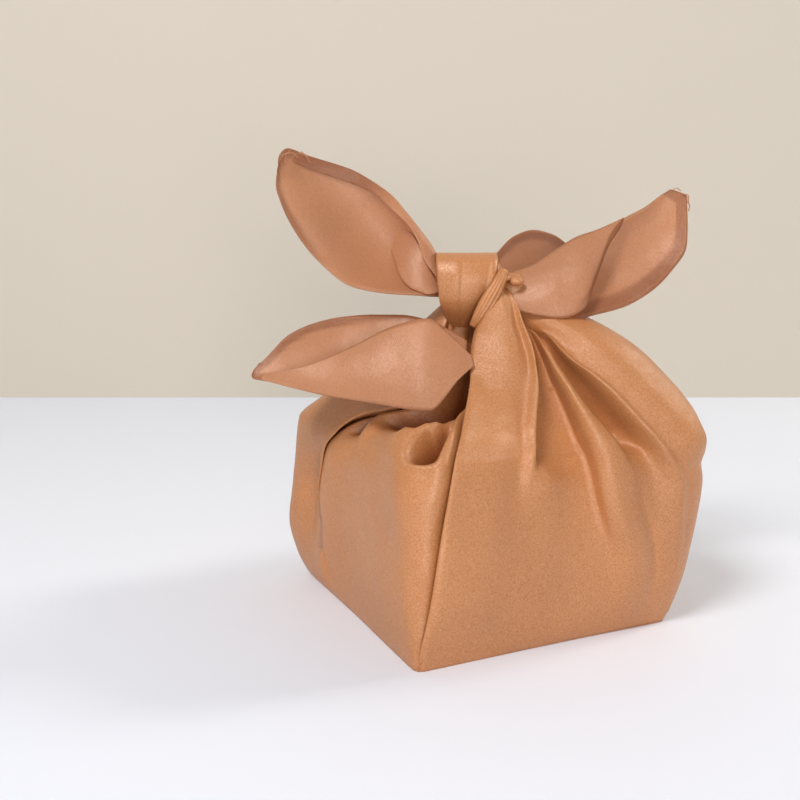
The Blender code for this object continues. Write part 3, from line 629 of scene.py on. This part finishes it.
# the knot and its tails, in the knot's own directions: side (along the knot, to the right),
# toward (to its front) and height above the table
knotTurn = -24.9
tails = {
    "lengthFaces": 54,
    "widthFaces": 20,
    # how far the middle of a tail's end stands out past its corners, and from where along the tail
    "tipRound": {"upperLeft": 3.2, "upperLeftRoll": 2.0, "lowerLeftBack": 2.0, "lowerRight": 3.0},
    "plainTipRound": 0.5,
    "tipPower": 2.5,
    "tipFrom": 0.86,
    "tipFaces": 5,
    "leafColumns": ("nearSide", "nearToward", "nearHeight",
                    "farSide", "farToward", "farHeight", "cup"),
    "leaves": {
        "upperLeft": (
            (-8, 4, 151, -8, 2, 164, 0),
            (-20, 8, 151, -20, 4, 168, 5),
            (-31, 12, 152, -24, 2, 172, 10),
            (-44, 14, 153, -29, 0, 179, 14),
            (-60, 15, 156, -35, -2, 188, 14),
            (-74, 15, 166, -43, -3, 197, 12),
            (-85, 14, 179, -54, -4, 205, 7),
            (-92, 12, 192, -67, -3, 211, 4),
            (-95, 10, 202, -80, -1, 215, 2),
            (-94, 8, 210, -88, 3, 218, 0),
        ),
        "upperLeftRoll": (
            (-21, 9, 159, -19.5, 5, 166, -0.5),
            (-27.5, 7, 168, -23.5, 3, 174, -1),
            (-30.5, 5, 176.5, -29, 1, 181.5, -1),
            (-35.5, 2, 184, -35.5, -1, 189.5, -1),
            (-43, 0, 191, -42, -2, 197, -0.8),
            (-52.5, -2, 199, -53.5, -3, 205, -0.6),
            (-61, -3, 202.5, -61, -3, 209, -0.4),
            (-78, 0, 208.5, -77, -1, 214, -0.2),
            (-88, 3, 212.5, -87.5, 2.2, 216.5, 0),
        ),
        "upperLeftFold": (
            (-46, -13, 181, -38, -8, 183, 0),
            (-43.5, -10, 173.5, -32, -3, 178, 0),
            (-41, -4, 166.5, -28, 1, 171, -1.2),
            (-38.5, 2, 160, -25, 4, 164, -1.8),
            (-34, 8, 155, -22, 7, 158, -1.6),
            (-26, 11, 152, -19, 9, 153.5, -1),
        ),
        "upperRight": (
            (10, 10, 146, 12, 4, 161, 0),
            (28, 16, 141, 25, 4, 166, 3),
            (42, 16, 141, 34, 3, 172, 5),
            (53, 14, 143, 44, 2, 178, 7),
            (65, 12, 146, 53, 1, 181, 8),
            (78, 10, 153, 61, 0, 184, 8),
            (88, 6, 162, 69, -2, 188, 7),
            (96, 2, 174, 77, -4, 192, 5),
            (97, -3, 188, 84, -6, 197, 2),
            (97, -6, 197, 89, -7, 200, 0),
        ),
        "upperRightFlap": (
            (7, 16, 149, 12, 7, 161, -1),
            (20, 20, 144, 23, 7, 165, -3),
            (34, 22, 142, 34, 5, 172, -5),
            (45, 20, 146, 44, 4, 178, -5),
            (51, 13, 158, 53, 3, 181, -3),
            (58, 6, 174, 60, 2, 184, -1),
            (64, 1, 182, 66, 0, 187, 0),
        ),
        "lowerLeftBack": (
            (-9, 33, 124, -8, 24, 132, 0),
            (-16, 42, 119, -17, 18, 137, 2),
            (-26, 49, 106.2, -25, 12, 140, 4),
            (-33, 47.5, 105.8, -38, 6, 142, 6),
            (-46, 43, 106.8, -52, 5, 142, 7),
            (-60, 38, 108, -66, 6, 141, 7),
            (-72, 33, 109, -80, 9, 138, 5),
            (-84, 29, 111, -91, 13, 133, 3),
            (-95, 26, 113, -99, 17, 125, 1),
            (-106, 22, 114, -104, 19, 120, 0),
        ),
        "lowerLeftFront": (
            (-6, 40, 123, -7, 37, 127, 0),
            (-13, 45, 117.5, -15, 32.5, 134.5, -1),
            (-25, 51, 105, -26, 29.5, 142.8, -2),
            (-33, 49, 104.7, -35, 29, 141.3, -3),
            (-46, 45, 106.2, -45, 29, 138, -4),
            (-60, 40, 107.5, -57, 29, 131.8, -3),
            (-72, 35, 108.5, -69, 28, 126, -2),
            (-84, 31, 110.5, -81, 28, 121.3, -1),
            (-94, 28, 112.5, -92, 27, 118.4, 0),
            (-103, 24, 114.3, -102, 23, 116.5, 0),
        ),
        "lowerRight": (
            (2, -8, 150, 2, -10, 162, 0),
            (10, -12, 147, 9, -13, 171, 2),
            (18, -16, 144, 17, -18, 178, 4),
            (30, -22, 143, 27, -24, 181, 5),
            (42, -29, 145, 37, -31, 179, 5),
            (52, -36, 149, 48, -38, 172, 3),
            (59, -42, 153, 57, -43, 163, 0),
        ),
    },
    # the edges of each leaf that are hemmed, painted darker as shade because the double layer lets
    # less light through:
    # the hem's width there and the share of the leaf's length where it begins to show
    "hemSoftness": 0.5,
    "hemFade": 0.1,
    "hems": {
        "upperLeft": {"near": (2.5, 0.6), "tip": (4.0, 0.0)},
        "upperLeftRoll": {"near": (9.0, 0.55)},
        "upperRight": {"near": (6.0, 0.2), "tip": (5.0, 0.0)},
        "upperRightFlap": {"near": (6.0, 0.5)},
        "lowerLeftBack": {"far": (5.0, 0.1), "tip": (4.0, 0.0)},
        "lowerRight": {"far": (5.0, 0.0), "tip": (5.0, 0.0)},
    },
}


def knotToWorld(points):
    points = np.asarray(points, float)
    turn = radians(knotTurn)
    side, toward, height = points[..., 0], points[..., 1], points[..., 2]
    x = side * np.cos(turn) + toward * np.sin(turn)
    y = side * np.sin(turn) - toward * np.cos(turn)
    return np.stack([x, y, height], -1)


def addLeaf(store, name):
    leaf = readAlong(tails["leaves"][name], tails["leafColumns"], tails["lengthFaces"])
    near = np.stack([leaf["nearSide"], leaf["nearToward"], leaf["nearHeight"]], -1)[:, None]
    far = np.stack([leaf["farSide"], leaf["farToward"], leaf["farHeight"]], -1)[:, None]
    shares = np.linspace(0, 1, tails["widthFaces"] + 1)[None, :, None]
    bow = np.array([0.0, -1.0, 0.0]) * leaf["cup"][:, None, None] * 4 * shares * (1 - shares)
    net = near + (far - near) * shares + bow
    along = np.linspace(0, 1, tails["lengthFaces"] + 1)[:, None]
    middle = net.mean(1)
    axis = middle[-1] - middle[-1 - tails["tipFaces"]]
    axis = axis / np.linalg.norm(axis)
    bulge = 1 - np.abs(2 * shares[..., 0] - 1) ** tails["tipPower"]
    out = tails["tipRound"].get(name, tails["plainTipRound"]) * bulge
    out = out * ease(tails["tipFrom"], 1.0, along)
    net = net + axis * out[..., None]
    width = np.linalg.norm(far - near, axis=2) + 0 * shares[..., 0]
    fromNear, fromFar = width * shares[..., 0], width * (1 - shares[..., 0])
    ends = np.linalg.norm(np.diff(net.mean(1), axis=0), axis=1)
    fromTip = np.append(np.cumsum(ends[::-1])[::-1], 0)[:, None] + 0 * width
    hemShade = np.zeros(width.shape)
    distances = {"near": fromNear, "far": fromFar, "tip": fromTip}
    soft, fade = tails["hemSoftness"], tails["hemFade"]
    for edge, (wide, start) in tails["hems"].get(name, {}).items():
        within = 1 - ease(wide - soft, wide + soft, distances[edge])
        hemShade = np.maximum(hemShade, within * ease(start - fade, start + fade, along))
    addGrid(store, knotToWorld(net), hemShade=hemShade, sheer=1.0)


band = {
    "columns": ("toward", "height", "leftSide", "rightSide"),
    "rows": (
        (-10, 164, -17, 4),
        (-2, 169, -21, 5),
        (10, 170.5, -22, 6),
        (18, 168, -22, 6),
        (22, 160, -21.5, 5),
        (20.5, 151, -20.5, 2),
        (15, 143, -18, -1),
        (7, 137, -14, -4),
        (0, 134, -10, -5),
    ),
    "crown": 3.0,
    "lengthFaces": 48,
    "widthFaces": 30,
    "hemShare": 0.37,
    "hemStep": 0.8,
    "hemSoftness": 0.03,
    "ridgeShare": 0.93,
    "ridgeRise": 1.2,
    "ridgeWidth": 0.04,
}


def addBand(store):
    rows = readAlong(band["rows"], band["columns"], band["lengthFaces"])
    shares = np.linspace(0, 1, band["widthFaces"] + 1)
    side = rows["leftSide"][:, None] + (rows["rightSide"] - rows["leftSide"])[:, None] * shares
    toward = rows["toward"][:, None] - band["crown"] * (2 * shares - 1) ** 2
    soft = band["hemSoftness"]
    pastHem = ease(band["hemShare"] - soft, band["hemShare"] + soft, shares)
    toward = toward + band["hemStep"] * (1 - pastHem)
    fromRidge = (shares - band["ridgeShare"]) / band["ridgeWidth"]
    toward = toward + band["ridgeRise"] * np.exp(-fromRidge ** 2)
    net = np.stack([side, toward, rows["height"][:, None] + 0 * side], -1)
    addGrid(store, knotToWorld(net))


pleats = {  # the thin pleats that are drawn tight from the band's right edge into the pit below it
    "columns": ("side", "toward", "height", "half"),
    "rows": (
        (9, 19, 164, 1.5),
        (5.5, 23.5, 157, 2.6),
        (1.5, 24.5, 150, 3.2),
        (-2, 24, 144, 2.6),
        (-5, 21.5, 138, 1.5),
    ),
    "lean": (0.885, -0.467),
    "ridges": 4,
    "depth": 0.9,
    "curl": 1.5,
    "lengthFaces": 28,
    "widthFaces": 32,
}


def addPleats(store):
    rows = readAlong(pleats["rows"], pleats["columns"], pleats["lengthFaces"])
    shares = np.linspace(-1, 1, pleats["widthFaces"] + 1)
    side = rows["side"][:, None] + pleats["lean"][0] * rows["half"][:, None] * shares
    height = rows["height"][:, None] + pleats["lean"][1] * rows["half"][:, None] * shares
    wave = np.abs(np.sin(0.5 * np.pi * pleats["ridges"] * (shares + 1)))
    toward = rows["toward"][:, None] + pleats["depth"] * wave - pleats["curl"] * shares ** 2
    addGrid(store, knotToWorld(np.stack([side, toward, height], -1)))


lumps = {
    "columns": ("side", "toward", "height", "halfSide", "halfToward", "halfHeight"),
    "rows": {
        "core": (-5, 3, 156, 14, 14, 12),
        "neck": (0, 1, 139, 4, 4, 16),
        "rightRoot": (14, 8, 154, 9, 8, 8),
        "leftRoot": (-14, 3, 160, 9, 9, 9),
        "lowerLeftArm": (-13, 18, 124, 9, 12, 8),
        "smallRoll": (14.5, 17.5, 158.5, 3.4, 3, 2.1),
        "rolledBit": (9.5, 17, 160, 2.6, 4, 1.6),
        "backRoot": (3, -8, 158, 9, 9, 10),
    },
    "sides": 24,
    "rings": 14,
    "poleGap": 0.05,
}


def addLump(store, name):
    row = np.array(lumps["rows"][name], float)
    turn = np.linspace(0, 2 * np.pi, lumps["sides"], endpoint=False)[None, :]
    pole = 0.5 * np.pi - lumps["poleGap"]
    rise = np.linspace(-pole, pole, lumps["rings"])[:, None]
    reach = np.cos(rise)
    ball = np.stack([reach * np.cos(turn), reach * np.sin(turn), np.sin(rise) + 0 * turn], -1)
    addGrid(store, knotToWorld(ball[:, ::-1] * row[3:] + row[:3]), closed=True)


strands = {  # loose yarns at the worn tips of the long tails
    "columns": ("side", "toward", "height"),
    "half": 0.22,
    "lengthFaces": 10,
    "rows": {
        "leftFirst": ((-93, 9, 213), (-91, 9.6, 215.5), (-87.5, 9, 216), (-85, 8, 213.5)),
        "leftSecond": ((-88.4, 7, 217.4), (-90.5, 8.6, 215), (-91, 9, 211)),
        "leftThird": ((-84, 4.4, 217), (-81.5, 4.2, 214.5), (-80, 3.8, 211.5)),
        "rightFirst": ((95, -5.5, 198), (97.2, -5, 197.4), (97.6, -5, 194)),
        "rightSecond": ((96.6, -5.5, 195), (98.2, -5, 192.4), (97.6, -4.5, 190)),
        "rightThird": ((89.6, -6.5, 199.6), (92, -6, 200.6), (94, -6, 199.4)),
    },
}


def addStrand(store, name):
    line = readAlong(strands["rows"][name], strands["columns"], strands["lengthFaces"])
    middle = np.stack([line[key] for key in strands["columns"]], -1)
    ahead = np.gradient(middle, axis=0)
    aside = np.cross(ahead, [0.0, 1.0, 0.0])
    aside *= strands["half"] / np.linalg.norm(aside, axis=1, keepdims=True)
    addGrid(store, knotToWorld(np.stack([middle - aside, middle + aside], 1)), sheer=1.0)


gathers = {  # the cloth bunched up inside the neck and the knot
    "columns": ("height", "side", "toward", "inner", "outer"),
    "rows": (
        (108, 0, 2, 4, 16),
        (122, 0, 2, 3, 9),
        (138, 0, 1, 2, 6.5),
        (152, -3, 1, 3, 9),
        (166, -3, 3, 3, 9),
    ),
    "lobes": 17,
    "twist": 0.5,
    "pointsEach": 8,
    "lengthFaces": 20,
}


def addGathers(store):
    rows = readAlong(gathers["rows"], gathers["columns"], gathers["lengthFaces"])
    count = gathers["lobes"] * gathers["pointsEach"]
    turn = np.linspace(0, 2 * np.pi, count, endpoint=False)
    wave = 0.5 - 0.5 * np.cos(turn * gathers["lobes"])
    radius = rows["inner"][:, None] + (rows["outer"] - rows["inner"])[:, None] * wave
    twist = turn + gathers["twist"] * np.linspace(0, 1, len(radius))[:, None]
    side = rows["side"][:, None] + radius * np.cos(twist)
    toward = rows["toward"][:, None] + radius * np.sin(twist)
    net = np.stack([side, toward, rows["height"][:, None] + 0 * side], -1)
    addGrid(store, knotToWorld(net[:, ::-1]), closed=True)


def clothMesh(store):
    mesh = bpy.data.meshes.new("furoshikiCloth")
    mesh.from_pydata([tuple(p * mm) for p in store["points"]], [], store["faces"])
    threads = mesh.uv_layers.new(name="threads")
    threads.data.foreach_set("uv", np.array(store["threads"], np.float32).reshape(-1))
    for name in ("hemShade", "sheer"):
        layer = mesh.attributes.new(name, "FLOAT", "POINT")
        layer.data.foreach_set("value", store[name].astype(np.float32))
    mesh.update()
    cloth = bpy.data.objects.new("furoshikiCloth", mesh)
    bpy.context.scene.collection.objects.link(cloth)
    work = bmesh.new()
    work.from_mesh(mesh)
    bmesh.ops.remove_doubles(work, verts=work.verts, dist=body["joinWithin"] * mm)
    work.to_mesh(mesh)
    work.free()
    return cloth


store = newStore()
addBody(store)
addBand(store)
addPleats(store)
addGathers(store)
for name in lumps["rows"]:
    addLump(store, name)
for name in tails["leaves"]:
    addLeaf(store, name)
for name in strands["rows"]:
    addStrand(store, name)
cloth = clothMesh(store)
print("cloth modelled", len(store["faces"]), "faces")

wall = cloth.modifiers.new("Thickness", "SOLIDIFY")
wall.thickness = body["thickness"] * mm
wall.offset = -1
thick = bpy.data.meshes.new_from_object(cloth.evaluated_get(bpy.context.evaluated_depsgraph_get()))
cloth.modifiers.clear()
cloth.data = thick
for vertex in thick.vertices:
    vertex.co.z = max(vertex.co.z, 0.0)
thick.shade_smooth()
print("cloth thickened", sum(len(face.vertices) - 2 for face in thick.polygons), "triangles")


# materials
def hexColour(code):  # an sRGB hex value as linear light
    parts = [int(code[k:k + 2], 16) / 255 for k in (1, 3, 5)]
    linear = [p / 12.92 if p <= 0.04045 else ((p + 0.055) / 1.055) ** 2.4 for p in parts]
    return (*linear, 1.0)


def addNode(tree, kind, settings=None, inputs=None):
    node = tree.nodes.new(kind)
    for name, value in (settings or {}).items():
        setattr(node, name, value)
    for name, value in (inputs or {}).items():
        if isinstance(value, bpy.types.NodeSocket):
            tree.links.new(value, node.inputs[name])
        else:
            node.inputs[name].default_value = value
    return node


satin = {
    "cloth": "#B87B4B",
    # painted shade: the hems' colour, darker because their double layer lets less light through
    "hemShade": "#8E5535",
    # painted light: the tails' colour, paler for the light that shines through their single layer
    "thin": "#D29E7C",
    "glow": "#F4CDB0",
    "shine": "#FFF0E4",
    "roughness": 0.44,
    "threadSpacing": 0.9,  # real yarns are about 0.15 mm apart, drawn coarser so that they show
    "threadSlant": 45.0,
    "threadWaver": 1.5,
    "waveLength": 0.314,  # one band of the wave texture at scale 1
    "mottleSize": 45.0,
    "speckleSize": 0.8,
    "wrinkleSize": 9.0,
    # what each noise is spread to: its low and high, then the values they stand for
    "tone": (0.3, 0.7, 0.93, 1.06),
    "grain": (0.25, 0.75, 0.92, 1.08),
    "sparkle": (0.3, 0.7, 0.35, 1.5),
    "through": (0.0, 1.0, 0.0, 0.34),
    # share of the painted hem shade
    "hemShare": 0.75,
    # share of the painted paling of the tails
    "backlitPaleShare": 0.5,
    "weaveBump": (0.25, 0.1),
    "wrinkleBump": (0.35, 1.2),
}


def makeSatin():
    # satin, woven: fine slanting float threads that catch the light as soft sparkle, dyed rose tan
    material = bpy.data.materials.new("wovenSatin")
    material.use_nodes = True
    tree = material.node_tree
    tree.nodes.clear()
    place = addNode(tree, "ShaderNodeTexCoord").outputs["Object"]
    hemShade = addNode(tree, "ShaderNodeAttribute", {"attribute_name": "hemShade"}).outputs["Fac"]
    sheer = addNode(tree, "ShaderNodeAttribute", {"attribute_name": "sheer"}).outputs["Fac"]

    def noise(name, detail):
        return addNode(tree, "ShaderNodeTexNoise", {}, {
            "Vector": place, "Scale": 1 / (satin[name] * mm), "Detail": detail}).outputs["Fac"]

    def spread(value, name):
        low, high, least, most = satin[name]
        return addNode(tree, "ShaderNodeMapRange", {}, {
            "Value": value, "From Min": low, "From Max": high,
            "To Min": least, "To Max": most}).outputs[0]

    def product(first, second):
        return addNode(tree, "ShaderNodeMath", {"operation": "MULTIPLY"}, {
            0: first, 1: second}).outputs[0]

    def blend(share, first, second):
        return addNode(tree, "ShaderNodeMix", {"data_type": "RGBA"}, {
            0: share, 6: first, 7: second}).outputs[2]

    threads = addNode(tree, "ShaderNodeUVMap", {"uv_map": "threads"}).outputs["UV"]
    slant = addNode(tree, "ShaderNodeMapping", {}, {
        "Vector": threads, "Rotation": (0, 0, radians(satin["threadSlant"]))}).outputs[0]
    twill = addNode(tree, "ShaderNodeTexWave", {"bands_direction": "X"}, {
        "Vector": slant, "Scale": satin["waveLength"] / (satin["threadSpacing"] * mm),
        "Distortion": satin["threadWaver"], "Detail": 2.0, "Detail Scale": 1.5}).outputs["Fac"]
    speckle = noise("speckleSize", 2.0)
    both = product(spread(noise("mottleSize", 3.0), "tone"), spread(speckle, "grain"))
    # painted light: the tails' colour is made paler where light shines through them
    thin = product(sheer, satin["backlitPaleShare"])
    paledForBacklight = blend(thin, hexColour(satin["cloth"]), hexColour(satin["thin"]))
    # painted shade: the hems' colour is made darker where their double layer lets less light through
    paintedLightAndShade = blend(product(hemShade, satin["hemShare"]), paledForBacklight, hexColour(satin["hemShade"]))
    colour = addNode(tree, "ShaderNodeHueSaturation", {}, {
        "Color": paintedLightAndShade, "Value": both}).outputs["Color"]
    strength, depth = satin["weaveBump"]
    weave = addNode(tree, "ShaderNodeBump", {}, {
        "Height": twill, "Strength": strength, "Distance": depth * mm}).outputs["Normal"]
    strength, depth = satin["wrinkleBump"]
    relief = addNode(tree, "ShaderNodeBump", {}, {
        "Height": noise("wrinkleSize", 4.0), "Strength": strength, "Distance": depth * mm,
        "Normal": weave}).outputs["Normal"]
    surface = addNode(tree, "ShaderNodeBsdfPrincipled", {}, {
        "Base Color": colour, "Roughness": satin["roughness"], "Normal": relief,
        "Specular IOR Level": spread(speckle, "sparkle"), "Specular Tint": hexColour(satin["shine"])})
    glow = addNode(tree, "ShaderNodeBsdfTranslucent", {}, {
        "Color": hexColour(satin["glow"]), "Normal": relief})
    mixed = addNode(tree, "ShaderNodeMixShader", {}, {
        0: spread(sheer, "through"), 1: surface.outputs[0], 2: glow.outputs[0]}).outputs[0]
    addNode(tree, "ShaderNodeOutputMaterial", {}, {"Surface": mixed})
    return material


cloth.data.materials.append(makeSatin())
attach(cloth, "root")
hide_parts("furoshiki_cloth")
print("cloth dressed")

# the set: a white table top, a plain wall behind it, soft light
stage = {
    "table": "#E9F0FB",
    "wall": "#D6CEBF",
    "tableRoughness": 0.6,
    "wallRoughness": 0.9,
    "tableEdge": 0.545,
    "tableFront": 1.6,
    "halfWidth": 2.2,
    "wallHeight": 1.6,
    "wallFoot": -0.4,
    "room": "#F4F6FB",
    "roomStrength": 0.35,
}
view = {
    "place": (-0.23541301, -0.41623141, 0.18981789),
    "right": (0.90735465, -0.42036595, 0.0),
    "up": (0.07786034, 0.16806058, 0.98269701),
    "back": (-0.41309236, -0.8916547, 0.18522038),
    "lens": 45.0,
    "sensor": 36.0,
}


def matte(name, code, roughness):
    material = bpy.data.materials.new(name)
    material.use_nodes = True
    shader = material.node_tree.nodes["Principled BSDF"]
    shader.inputs["Base Color"].default_value = hexColour(code)
    shader.inputs["Roughness"].default_value = roughness
    return material


def stagePlane(name, corners, material):
    mesh = bpy.data.meshes.new(name)
    mesh.from_pydata([tuple(c) for c in corners], [], [(0, 1, 2, 3)])
    mesh.materials.append(material)
    plane = bpy.data.objects.new(name, mesh)
    bpy.context.scene.collection.objects.link(plane)


across = Vector(view["right"])
away = Vector((-across.y, across.x, 0))
wide, near, far = stage["halfWidth"], stage["tableFront"], stage["tableEdge"]
stagePlane("tableTop", [across * -wide - away * near, across * wide - away * near,
                        across * wide + away * far, across * -wide + away * far],
           matte("paintedTableTop", stage["table"], stage["tableRoughness"]))
lift = Vector((0, 0, stage["wallHeight"]))
sink = Vector((0, 0, stage["wallFoot"]))
stagePlane("backWall", [across * -wide + away * far + sink, across * wide + away * far + sink,
                        across * wide + away * far + lift, across * -wide + away * far + lift],
           matte("paintedWall", stage["wall"], stage["wallRoughness"]))


lights = {
    "size": 0.5,
    "target": (0, 0, 0.08),
    # across the view, away from the camera, height, power and colour
    "rows": {
        "frontWindow": (-0.6, -0.85, 1.3, 15.5, "#FFF8F4"),
        "frontFill": (0.1, -1.3, 0.15, 6.5, "#FFF8F2"),
        "rightWindow": (1.3, 0.45, 1.0, 12.5, "#FFF8EE"),
    },
}


def areaLight(name, right, back, height, power, colour):
    lamp = bpy.data.lights.new(name, "AREA")
    lamp.shape = "DISK"
    lamp.size = lights["size"]
    lamp.energy = power
    lamp.color = hexColour(colour)[:3]
    holder = bpy.data.objects.new(name, lamp)
    holder.location = across * right + away * back + Vector((0, 0, height))
    aim = Vector(lights["target"]) - holder.location
    holder.rotation_euler = aim.to_track_quat("-Z", "Y").to_euler()
    bpy.context.scene.collection.objects.link(holder)


for name, row in lights["rows"].items():
    areaLight(name, *row)

world = bpy.data.worlds.new("softRoom")
bpy.context.scene.world = world
world.use_nodes = True
background = world.node_tree.nodes["Background"]
background.inputs["Color"].default_value = hexColour(stage["room"])
background.inputs["Strength"].default_value = stage["roomStrength"]

camera = bpy.data.cameras.new("camera")
camera.lens = view["lens"]
camera.sensor_width = view["sensor"]
cameraHolder = bpy.data.objects.new("camera", camera)
axes = [view["right"], view["up"], view["back"], view["place"]]
rows = [[axis[k] for axis in axes] for k in range(3)]
cameraHolder.matrix_world = Matrix(rows + [[0, 0, 0, 1]])
bpy.context.scene.collection.objects.link(cameraHolder)
bpy.context.scene.camera = cameraHolder
bpy.context.scene.view_settings.view_transform = "Standard"
print("lights and camera set")
